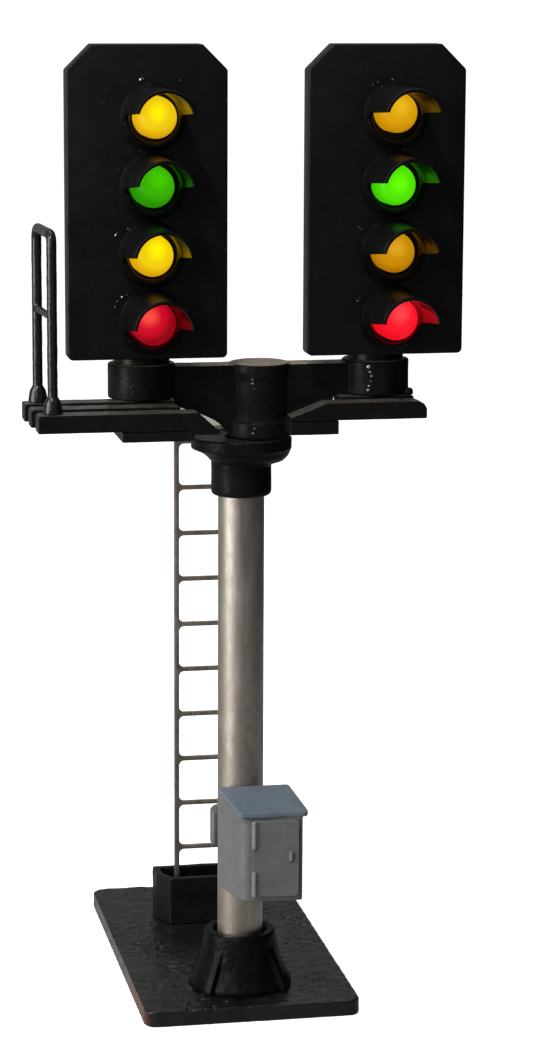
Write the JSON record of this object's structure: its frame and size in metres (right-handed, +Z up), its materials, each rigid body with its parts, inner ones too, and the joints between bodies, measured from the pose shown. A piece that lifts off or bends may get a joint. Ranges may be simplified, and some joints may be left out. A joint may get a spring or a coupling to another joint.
{
  "type": "model signal mast",
  "caption": "Scale model colour-light railway signal: two lamp heads on a bracket with walkway and handrail, on a tubular mast with ladder, relay cabinet and base plate.",
  "frame": {"origin": "on the mast axis, at the underside of the base plate", "axes": "+Z up along the mast, lamps face -Y, +X to the right as seen from the front"},
  "size_m": [0.0345, 0.0374, 0.0774],
  "materials": {
    "black_casting": "satin black paint over a casting, faint dust in the corners",
    "head_black": "satin black moulded plastic",
    "mast_nickel": "warm nickel plate, slightly mottled",
    "ladder_etch": "etched nickel silver, dull",
    "cabinet_grey": "matt mid grey paint",
    "cabinet_roof": "matt bluish grey paint",
    "board_green": "green solder mask",
    "lead_sleeve": "thin insulated wire",
    "lens_red": "translucent, lit from inside",
    "lens_yellow": "translucent, lit from inside",
    "lens_green": "translucent, lit from inside"
  },
  "bodies": {
    "mast": {"base_plate": "black_casting", "mast_socket": "black_casting", "ladder_box": "black_casting", "mast_collar": "black_casting", "bracket_body": "black_casting", "left_slat_front": "black_casting", "left_slat_middle": "black_casting", "left_slat_rear": "black_casting", "right_slat_front": "black_casting", "right_slat_rear": "black_casting", "left_bearer": "black_casting", "right_bearer": "black_casting", "handrail": "black_casting", "right_end_stub": "black_casting", "mast_tube": "mast_nickel", "ladder": "ladder_etch", "ladder_landing": "ladder_etch", "relay_body": "cabinet_grey", "relay_door": "cabinet_grey", "relay_hinge_upper": "cabinet_grey", "relay_hinge_lower": "cabinet_grey", "relay_handle": "cabinet_grey", "relay_clamp": "cabinet_grey", "relay_roof": "cabinet_roof", "left_lead": "lead_sleeve", "right_lead": "lead_sleeve"},
    "left_head": {"left_backboard": "head_black", "left_rear_cover": "head_black", "left_circuit_board": "board_green", "left_hood_lower": "head_black", "left_lamp_lower": "lens_red", "left_hood_second": "head_black", "left_lamp_second": "lens_yellow", "left_hood_third": "head_black", "left_lamp_third": "lens_green", "left_hood_upper": "head_black", "left_lamp_upper": "lens_yellow"},
    "right_head": {"right_backboard": "head_black", "right_rear_cover": "head_black", "right_circuit_board": "board_green", "right_hood_lower": "head_black", "right_lamp_lower": "lens_red", "right_hood_second": "head_black", "right_lamp_second": "lens_yellow", "right_hood_third": "head_black", "right_lamp_third": "lens_green", "right_hood_upper": "head_black", "right_lamp_upper": "lens_yellow"}
  },
  "joints": [
    {"name": "left_head_swivel", "type": "hinge", "parent": "mast", "child": "left_head", "pos_m": [-0.00806, -0.0006, 0.0527], "axis": [0, 0, 1], "range_deg": [-25, 25]},
    {"name": "right_head_swivel", "type": "hinge", "parent": "mast", "child": "right_head", "pos_m": [0.01066, -0.0006, 0.0527], "axis": [0, 0, 1], "range_deg": [-25, 25]}
  ]
}
